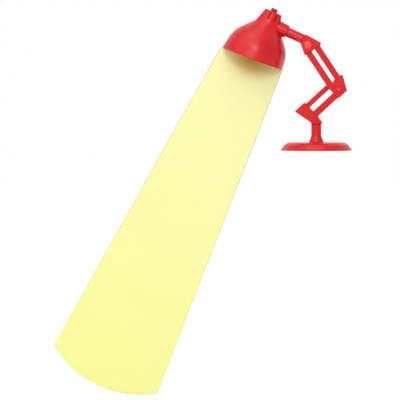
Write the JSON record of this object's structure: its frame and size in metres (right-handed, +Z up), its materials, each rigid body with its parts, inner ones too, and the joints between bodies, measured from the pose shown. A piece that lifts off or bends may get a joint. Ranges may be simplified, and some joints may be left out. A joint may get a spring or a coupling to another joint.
{
  "type": "desk lamp page marker",
  "caption": "Page marker shaped as a miniature red twin-bar desk lamp with a bell shade and a long pale yellow film for its beam, which goes between the pages.",
  "frame": {"origin": "centre of the base's underside, in the middle plane of the arms and film", "axes": "+Z up through the post; +X away from the shade, across the arms; +Y out of the back, along every arm hinge"},
  "size_m": [0.1501, 0.0354, 0.194],
  "materials": {
    "red_plastic": "satin moulded red",
    "finial": "darker red, satin",
    "film": "smooth translucent pale yellow sheet"
  },
  "bodies": {
    "base": {"base_shell": "red_plastic", "base_cover": "red_plastic"},
    "post": {"post": "red_plastic", "post_clip": "red_plastic", "lower_cheek_front": "red_plastic", "lower_cheek_rear": "red_plastic", "lower_pins": "red_plastic"},
    "lower_main": {"lower_main_bar": "red_plastic"},
    "lower_parallel": {"lower_parallel_bar": "red_plastic"},
    "elbow": {"elbow_cheek_front": "red_plastic", "elbow_cheek_rear": "red_plastic", "elbow_pins": "red_plastic", "elbow_stud": "red_plastic"},
    "upper_main": {"upper_main_bar": "red_plastic"},
    "upper_parallel": {"upper_parallel_bar": "red_plastic"},
    "head_link": {"head_link": "red_plastic", "head_link_pins": "red_plastic"},
    "head": {"head_cheek_front": "red_plastic", "head_cheek_rear": "red_plastic", "head_bolt": "red_plastic", "neck_rod": "red_plastic", "neck_rod_pin": "red_plastic", "shade_front": "red_plastic", "shade_rear": "red_plastic", "finial": "finial", "beam_film": "film"}
  },
  "joints": [
    {"name": "base_swivel", "type": "hinge", "parent": "base", "child": "post", "pos_m": [0, 0, 0.0039], "axis": [0, 0, 1], "continuous": true},
    {"name": "lower_arm_tilt", "type": "hinge", "parent": "post", "child": "lower_main", "pos_m": [-0.00177, 0, 0.0169], "axis": [0, 1, 0], "range_deg": [-35, 15]},
    {"name": "lower_parallel_tilt", "type": "hinge", "parent": "post", "child": "lower_parallel", "pos_m": [-0.0056, 0, 0.02105], "axis": [0, 1, 0], "range_deg": [-35, 15]},
    {"name": "elbow_level", "type": "hinge", "parent": "lower_main", "child": "elbow", "pos_m": [0.01073, 0, 0.02843], "axis": [0, 1, 0], "range_deg": [-15, 35]},
    {"name": "upper_arm_tilt", "type": "hinge", "parent": "elbow", "child": "upper_main", "pos_m": [0.01148, 0, 0.03481], "axis": [0, 1, 0], "range_deg": [-30, 15]},
    {"name": "upper_parallel_tilt", "type": "hinge", "parent": "elbow", "child": "upper_parallel", "pos_m": [0.00689, 0, 0.03258], "axis": [0, 1, 0], "range_deg": [-30, 15]},
    {"name": "head_link_level", "type": "hinge", "parent": "upper_main", "child": "head_link", "pos_m": [-0.00013, 0, 0.05216], "axis": [0, 1, 0], "range_deg": [-15, 30]},
    {"name": "head_tilt", "type": "hinge", "parent": "head_link", "child": "head", "pos_m": [-0.00417, 0, 0.05232], "axis": [0, 1, 0], "range_deg": [-5, 35]}
  ],
  "couplings": [
    {"joint": "lower_parallel_tilt", "follows": "lower_arm_tilt", "ratio": 1},
    {"joint": "elbow_level", "follows": "lower_arm_tilt", "ratio": -1},
    {"joint": "upper_parallel_tilt", "follows": "upper_arm_tilt", "ratio": 1},
    {"joint": "head_link_level", "follows": "upper_arm_tilt", "ratio": -1}
  ]
}
